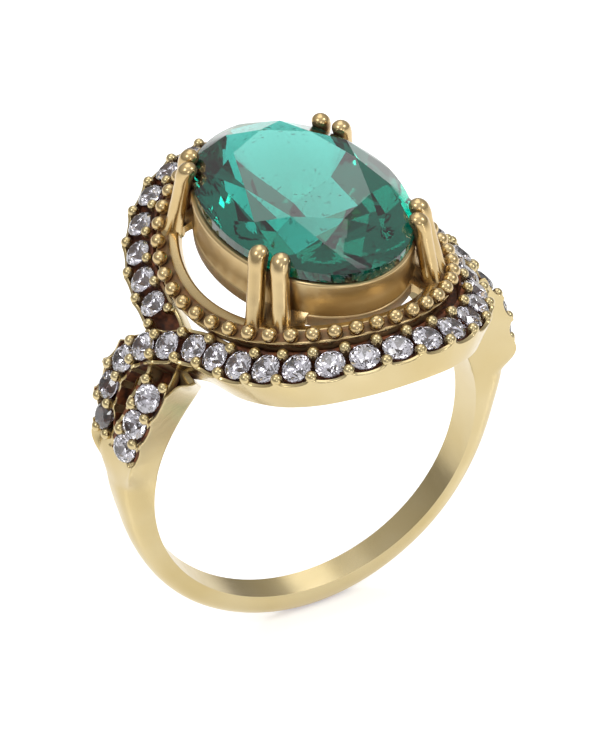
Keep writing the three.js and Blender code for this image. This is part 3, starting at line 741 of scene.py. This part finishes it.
def plain_outline(inside, sides, square, pattern):
    """Domed section of the shank, with its points spread like those of the pattern outline."""
    (back, back_high), (front, front_high) = sides
    turn = np.linspace(0, math.pi, 900)
    height = np.sin(turn) ** (2 / square)
    reach = np.sign(np.cos(turn)) * np.abs(np.cos(turn)) ** (2 / square)
    half = np.where(reach > 0, back, front)
    y = reach * (inside + (half - inside) * height)
    outer = (front_high + back_high) / 2 + (back_high - front_high) / 2 * reach
    curve = np.stack([y, HOLE_RADIUS + (outer - HOLE_RADIUS) * height], -1)
    bore = SHANK_FILLS[-1]
    steps = np.linalg.norm(np.diff(pattern[:-bore], axis=0), axis=1)
    shares = np.concatenate([[0], np.cumsum(steps)]) / steps.sum()
    lengths = np.concatenate([[0], np.cumsum(np.linalg.norm(np.diff(curve, axis=0), axis=1))])
    outline = pattern.copy()
    for k in range(2):
        outline[:-bore, k] = np.interp(shares * lengths[-1], lengths, curve[:, k])
    return outline


def shank_ring(angle):
    """Section of the shank, and how much of it lies in the pocket between the rows of stones."""
    high_narrow, high_wide, inside, narrow, wide, square = shank_station(abs(angle))
    rows = smoothstep(SHOULDER["from"], SHOULDER["full"], abs(angle))
    rows = float(rows * (1 - smoothstep(SHOULDER["rows_to"], SHOULDER["rows_end"], abs(angle))))
    over, over_high, over_notch = row_edge(180 - abs(angle), True)
    under, under_high, under_notch = row_edge(180 - abs(angle), False)
    narrow += (over - narrow) * rows
    wide += (under - wide) * rows
    high_narrow += (over_high - high_narrow) * rows
    high_wide += (under_high - high_wide) * rows
    hollow = float(smoothstep(POCKET["from"], POCKET["full"], abs(angle)))
    open_end = float(smoothstep(*POCKET["ends"], abs(angle)))
    floor = min(high_narrow, high_wide) - 0.01 - POCKET["depth"] * hollow * (1 - 0.8 * open_end)
    sides = [(narrow, high_narrow, over_notch * rows), (wide, high_wide, under_notch * rows)]
    plain_sides = [(narrow, high_narrow), (wide, high_wide)]
    if angle < 0:
        order = 1
    else:
        order = -1
    outline = shoulder_outline(inside, sides[::order], floor)
    domed = plain_outline(inside, plain_sides[::order], square, outline)
    channel = float(smoothstep(SHOULDER["from"], SHOULDER["full"], abs(angle)))
    recess = np.zeros(len(outline))
    # Pocket points carry recess, fading at its open ends: residue brown and painted shade between the rows
    # of stones.
    recess[pocket_points()] = hollow * (1 - open_end)
    outline = domed + (outline - domed) * channel
    y, radius = outline[:, 0], outline[:, 1]
    end = SHANK_STATIONS[-1][0]
    lean = SHOULDER_END_LEAN * float(smoothstep(SHOULDER_LEAN_FROM, end, abs(angle)))
    lean *= math.copysign(1, angle)
    depth = 1 - (radius - HOLE_RADIUS) / (HALO_RADIUS - HOLE_RADIUS)
    place = np.radians(angle - lean * depth)
    return np.stack([radius * np.sin(place), y, -radius * np.cos(place)], -1), recess


def accent_frame(length):
    """Placement in millimetres of a small stone: girdle centre, with Z away from the finger."""
    centre, side = strand_at(length)
    u, y, radius = centre[0]
    up = Vector(draped(u, 0, 1.0))
    origin = Vector(draped(u, y, radius))
    across = Vector(draped(u + side[0, 0], y + side[0, 1], radius)) - origin
    across = (across - up * across.dot(up)).normalized()
    along = up.cross(across)
    turn = Matrix((across, along, up)).transposed().to_4x4()
    return Matrix.Translation(origin) @ turn @ Matrix.Rotation(math.radians(bank_at(length)), 4, "Y")


def slot_cutter():
    """Pointed prism for the see-through slot between the two rows of stones on a shoulder."""
    middle = -math.radians((SLOT_FROM + SLOT_TO) / 2) * HALO_RADIUS
    reach = math.radians(SLOT_TO - SLOT_FROM) / 2 * HALO_RADIUS
    turn = np.linspace(0, 2 * math.pi, 48, endpoint=False)
    u = middle + reach * np.cos(turn)
    y = SLOT_HALF_WIDTH * np.sin(turn) * np.abs(np.sin(turn)) ** 0.3
    shape = Shape()
    # Its recess value of 1 passes to the walls that it cuts, which get the residue brown and painted
    # shade.
    shape.add_grid([draped(u, y, HOLE_RADIUS - 1), draped(u, y, HALO_RADIUS + 1)], recess=1.0)
    return shape


def make_shank(material):
    end = SHANK_STATIONS[-1][0]
    shoulder = np.arange(SHOULDER["from"], end, 0.25)
    half = np.concatenate([np.arange(0.5, SHOULDER["from"], 1.0), shoulder, [end]])
    angles = np.concatenate([-half[::-1], half])
    rings, recess = zip(*(shank_ring(angle) for angle in angles))
    shape = Shape()
    shape.add_grid(rings, recess=np.concatenate(recess))
    shank = shape.make("shank_gold", material, "shank")
    for turn in (0, math.pi):
        cutter = slot_cutter().make("slot_cutter", material)
        cutter.matrix_world = Matrix.Rotation(turn, 4, "Z")
        cut = shank.modifiers.new("slot", "BOOLEAN")
        cut.operation = "DIFFERENCE"
        cut.solver = "EXACT"
        cut.object = cutter
        bpy.context.view_layer.update()
        depsgraph = bpy.context.evaluated_depsgraph_get()
        solid = bpy.data.meshes.new_from_object(shank.evaluated_get(depsgraph))
        shank.modifiers.clear()
        shank.data = solid
        bpy.data.objects.remove(cutter)
    solid.polygons.foreach_set("use_smooth", [True] * len(solid.polygons))
    solid.set_sharp_from_angle(angle=math.radians(SHARP_EDGE))


# ---- gallery, collar and prongs ------------------------------------------------------------
def gallery_point(turn, offset, radius):
    x = (GALLERY_ACROSS + offset) * np.cos(turn)
    y = (GALLERY_ALONG + offset) * np.sin(turn)
    return draped(HALO_RADIUS * np.arcsin(x / GALLERY_BEAD_CENTRE), y, radius)


def make_gallery(material):
    inner, outer = -GALLERY_INSET, GALLERY_OUTSET + 0.05
    corners = [(outer, GALLERY_BOTTOM, 0.12), (outer, GALLERY_TOP - 0.08, 0.1),
               (-0.36, GALLERY_TOP - 0.05, 0.05), (-0.46, GALLERY_TOP + 0.03, 0.08),
               (inner, GALLERY_TOP - 0.06, 0.1), (inner, GALLERY_BOTTOM, 0.1)]
    outline = rounded_outline(corners)
    # The seat under the beads carries recess 0.7: residue brown and painted shade around the beads' feet.
    seat = (outline[:, 1] > GALLERY_TOP - 0.15) & (outline[:, 0] < outer - 0.08) & (outline[:, 0] > -0.42)
    rings, recess = [], []
    for turn in np.linspace(0, 2 * math.pi, 528, endpoint=False):
        rings.append(gallery_point(np.full(len(outline), turn), outline[:, 0], outline[:, 1]))
        recess.append(np.where(seat, 0.7, 0.0))
    shape = Shape()
    shape.add_grid(rings, looped=True, recess=np.concatenate(recess))
    for i in range(GALLERY_BEADS):
        turn = 2 * math.pi * (i + 0.5) / GALLERY_BEADS
        centre = gallery_point(turn, 0, GALLERY_BEAD_CENTRE - 0.03)
        shape.add(centre + BALL_POINTS * GALLERY_BEAD_RADIUS, BALL_FACES)
    for quarter in range(4):
        add_bridge(shape, quarter)
    shape.make("beaded_gallery_gold", material, "beaded_gallery")


def add_bridge(shape, quarter):
    """Web that joins the gallery to the collar under a pair of prongs, with hollowed ends."""
    middle = math.radians(45) if quarter % 2 == 0 else math.radians(135)
    middle += math.pi * (quarter // 2)
    half, hollow = math.radians(10.5), math.radians(4.5)
    rings = []
    for f in np.linspace(0, 1, 17):
        spread_out = half + hollow * (1 - math.sqrt(max(0.0, 1 - (2 * f - 1) ** 2)))
        turns = middle + np.linspace(-1, 1, 25) * spread_out
        inner = np.stack([(COLLAR_ACROSS - 0.15) * np.cos(turns), (COLLAR_ALONG - 0.15) * np.sin(turns),
                          np.full(25, COLLAR_BOTTOM + 0.45)], -1)
        outer = gallery_point(turns, -GALLERY_INSET + 0.15, 12.05)
        line = inner + (outer - inner) * f
        sag = 0.18 * math.sin(math.pi * f)
        top = line + np.array([0, 0, 0.28 - sag])
        bottom = line - np.array([0, 0, 0.28])
        rings.append(np.vstack([top, bottom[::-1]]))
    # The web carries a light recess value of 0.1: a touch of residue brown and painted shade under the
    # head.
    shape.add_grid(rings, recess=0.1)


def make_collar(material):
    low, high, wall = COLLAR_BOTTOM, COLLAR_TOP, COLLAR_WALL
    corners = [(0.0, low, 0.05), (0.03, low + 0.5, 0.04),
               (-0.05, low + 0.56, 0.04), (-0.09, low + 1.0, 0.3),
               (0.0, high - 0.1, 0.15), (-0.1, high, 0.06), (-wall, high - 0.02, 0.05), (-wall, low, 0.05)]
    outline = rounded_outline(corners)
    filed = np.where((outline[:, 1] < low + 0.53) & (outline[:, 0] > -0.1), 1.0, 0.0)
    rings, marks = [], []
    for turn in np.linspace(0, 2 * math.pi, 300, endpoint=False):
        x = (COLLAR_ACROSS + outline[:, 0]) * math.cos(turn)
        y = (COLLAR_ALONG + outline[:, 0]) * math.sin(turn)
        rings.append(np.stack([x, y, outline[:, 1]], -1))
        marks.append(filed)
    shape = Shape()
    # The filed lower band also carries a recess value of 0.45, so its base colour goes part way to the
    # recess brown.
    shape.add_grid(rings, looped=True, filed=np.concatenate(marks), recess=0.45 * np.concatenate(marks))
    shape.make("basket_collar_gold", material, "basket_collar")


def make_prong(name, foot, tip, material):
    """Round wire that flares at its foot, leans in and bends over the stone's edge."""
    foot, tip = np.array(foot, float), np.array(tip, float)
    inward = -np.array([tip[0], tip[1] * 0.5, 0.0])
    inward /= np.linalg.norm(inward)
    length = np.linalg.norm(tip - foot)
    lengths = np.linspace(0, length - PRONG_RADIUS, 34)
    dome = length - PRONG_RADIUS + PRONG_RADIUS * np.sin(np.linspace(0, 1, 14)[1:] * math.pi / 2 * 0.995)
    places = np.concatenate([lengths, dome])
    rings = []
    for place in places:
        share = place / length
        centre = foot + (tip - foot) * share + inward * 0.12 * float(smoothstep(0.8, 1.0, share))
        flare = 0.16 * math.exp(-place / 0.22)
        head = 0.03 * float(smoothstep(0.7, 0.85, share))
        waist = 0.03 * float(smoothstep(0.3, 0.5, share)) * (1 - share)
        radius = PRONG_RADIUS + flare + head - waist
        over = (place - (length - PRONG_RADIUS)) / PRONG_RADIUS
        if over > 0:
            radius *= math.sqrt(max(0.0, 1 - over ** 2))
        turn = np.linspace(0, 2 * math.pi, 32, endpoint=False)
        axis = (tip - foot) / length
        first = np.cross(axis, (0, 1, 0))
        first /= np.linalg.norm(first)
        second = np.cross(axis, first)
        rings.append(centre + radius * (np.outer(np.cos(turn), first) + np.outer(np.sin(turn), second)))
    shape = Shape()
    shape.add_grid(rings, recess=0.0)
    shape.make(name + "_gold", material, name)


def make_prongs(material):
    for end, sy in (("front", -1), ("back", 1)):
        for hand, sx in (("right", 1), ("left", -1)):
            for place, foot, tip in PRONG_PAIR:
                make_prong(f"prong_{end}_{hand}_{place}", (sx * foot[0], sy * foot[1], PRONG_FOOT_HEIGHT),
                           (sx * tip[0], sy * tip[1], PRONG_TIP_HEIGHT), material)


# ---- stones --------------------------------------------------------------------------------
def plane_through(a, b, c):
    normal = np.cross(b - a, c - a)
    normal /= np.linalg.norm(normal)
    return a, normal if normal @ a > 0 or abs(normal[2]) > 0.999 else -normal


def polar(turn, reach, height):
    return np.array([reach * math.cos(turn), reach * math.sin(turn), height])


def brilliant_planes(table, crown, pavilion, girdle):
    """Facet planes of a round brilliant of girdle radius 1, centred on its girdle.

    table is the reach of the table's corners, crown and pavilion the heights above and below the
    girdle band, and girdle half the band's thickness.
    """
    eighth = math.pi / 4
    star_reach = 0.5 * (table * math.cos(eighth / 2) + 1)
    slope = crown / (1 - table)
    star_height = girdle + (1 - star_reach * math.cos(eighth / 2)) * slope
    low_reach = 0.24
    low_slope = pavilion
    low_height = -girdle - (1 - low_reach * math.cos(eighth / 2)) * low_slope
    planes = [(np.array([0, 0, girdle + crown]), np.array([0, 0, 1.0]))]
    for k in range(8):
        turn = k * eighth
        out = np.array([math.cos(turn), math.sin(turn), 0])
        for sign, pitch in ((1, slope), (-1, low_slope)):
            normal = np.array([pitch * out[0], pitch * out[1], sign])
            planes.append((np.array([out[0], out[1], sign * girdle]), normal / np.linalg.norm(normal)))
        half = turn + eighth / 2
        star = polar(half, star_reach, star_height)
        corners = [polar(turn + d, table, girdle + crown) for d in (0, eighth)]
        planes.append(plane_through(corners[0], corners[1], star))
        low = polar(half, low_reach, low_height)
        for d in (0, eighth):
            planes.append(plane_through(star, polar(turn + d, 1, girdle), polar(half, 1, girdle + 0.004)))
            planes.append(plane_through(low, polar(turn + d, 1, -girdle), polar(half, 1, -girdle - 0.004)))
    return planes


def cut_stone_mesh(name, planes, depth, top, sides):
    """Round blank of girdle radius 1, cut by every facet plane in turn."""
    bm = bmesh.new()
    height = 2 * max(depth, top) + 1
    bmesh.ops.create_cone(bm, cap_ends=True, segments=sides, radius1=1, radius2=1, depth=height)
    for point, normal in planes:
        outward = normal if normal @ point > 0 else -normal
        geometry = bm.verts[:] + bm.edges[:] + bm.faces[:]
        cut = bmesh.ops.bisect_plane(bm, geom=geometry, dist=1e-6, plane_co=point, plane_no=outward,
                                     clear_outer=True)
        rim = [e for e in cut["geom_cut"] if isinstance(e, bmesh.types.BMEdge)]
        if len(rim) > 2:
            bmesh.ops.edgenet_fill(bm, edges=rim)
    bmesh.ops.recalc_face_normals(bm, faces=bm.faces)
    mesh = bpy.data.meshes.new(name)
    bm.to_mesh(mesh)
    bm.free()
    return mesh


def oval(turn, share, height):
    """Point of the centre stone at a share of its girdle oval."""
    return (STONE_ACROSS * share * math.cos(turn), STONE_ALONG * share * math.sin(turn), height)


def make_centre_stone(material):
    """Oval brilliant, as the convex hull of the corners of its facets."""
    eighth = math.pi / 4
    corners = []
    for k in range(8):
        corners.append(oval(k * eighth, STONE_TABLE_SHARE, STONE_TABLE))
        corners.append(oval((k + 0.5) * eighth, STONE_STAR_SHARE, STONE_STAR_HEIGHT))
        corners.append(oval((k + 0.5) * eighth, STONE_LOW_SHARE, STONE_LOW_HEIGHT))
    for k in range(64):
        turn = 2 * math.pi * k / 64
        sag = STONE_GIRDLE_WAVE * abs(math.sin(4 * turn))
        corners.append(oval(turn, 1, STONE_GIRDLE_TOP - sag))
        corners.append(oval(turn, 0.996, STONE_GIRDLE_BOTTOM + sag))
    corners += [(0, y, STONE_CULET) for y in (-STONE_KEEL, STONE_KEEL)]
    bm = bmesh.new()
    for corner in corners:
        bm.verts.new(Vector(corner) * MM)
    bmesh.ops.convex_hull(bm, input=bm.verts)
    bmesh.ops.dissolve_limit(bm, angle_limit=math.radians(0.6), verts=bm.verts, edges=bm.edges)
    mesh = bpy.data.meshes.new("centre_stone_cut")
    bm.to_mesh(mesh)
    bm.free()
    finish_piece("centre_stone_cut", mesh, material, "centre_stone", 0)


def make_accent_stones(material):
    crown, pavilion, half = 0.33, 0.9, 0.06
    planes = brilliant_planes(0.56, crown, pavilion, half)
    rough = cut_stone_mesh("accent_cut", planes, pavilion + half, crown + half, 48)
    for i, length in enumerate(ACCENT_PLACES):
        place = accent_frame(length)
        place.translation *= MM
        place = place @ Matrix.Rotation(ACCENT_TURN * i, 4, "Z") @ Matrix.Scale(ACCENT_RADIUS * MM, 4)
        for strand, half_turn in (("front", 0), ("back", math.pi)):
            node = f"accent_stone_{strand}_{i + 1:02d}"
            mesh = rough.copy()
            mesh.transform(Matrix.Rotation(half_turn, 4, "Z") @ place)
            finish_piece(f"{node}_cut", mesh, material, node, 0)


# ---- the scene -----------------------------------------------------------------------------
make_camera()
make_world()
make_stage()
for softbox in SOFTBOXES:
    make_softbox(*softbox)

band_gold = gold_material("gold_band", BAND_TONES, 0.21, 0.12, 0.0004)
halo_gold = gold_material("gold_halo", BAND_TONES, 0.2, 0.25, 0.00045)
set_gold = gold_material("gold_setting", HEAD_TONES, 0.22, 0.25, 0.00045)
make_shank(band_gold)
make_strands(halo_gold)
make_gallery(set_gold)
make_collar(brushed_band_material())
make_prongs(set_gold)
make_centre_stone(green_stone_material())
make_accent_stones(clear_stone_material())

bpy.context.scene.view_settings.view_transform = "Standard"
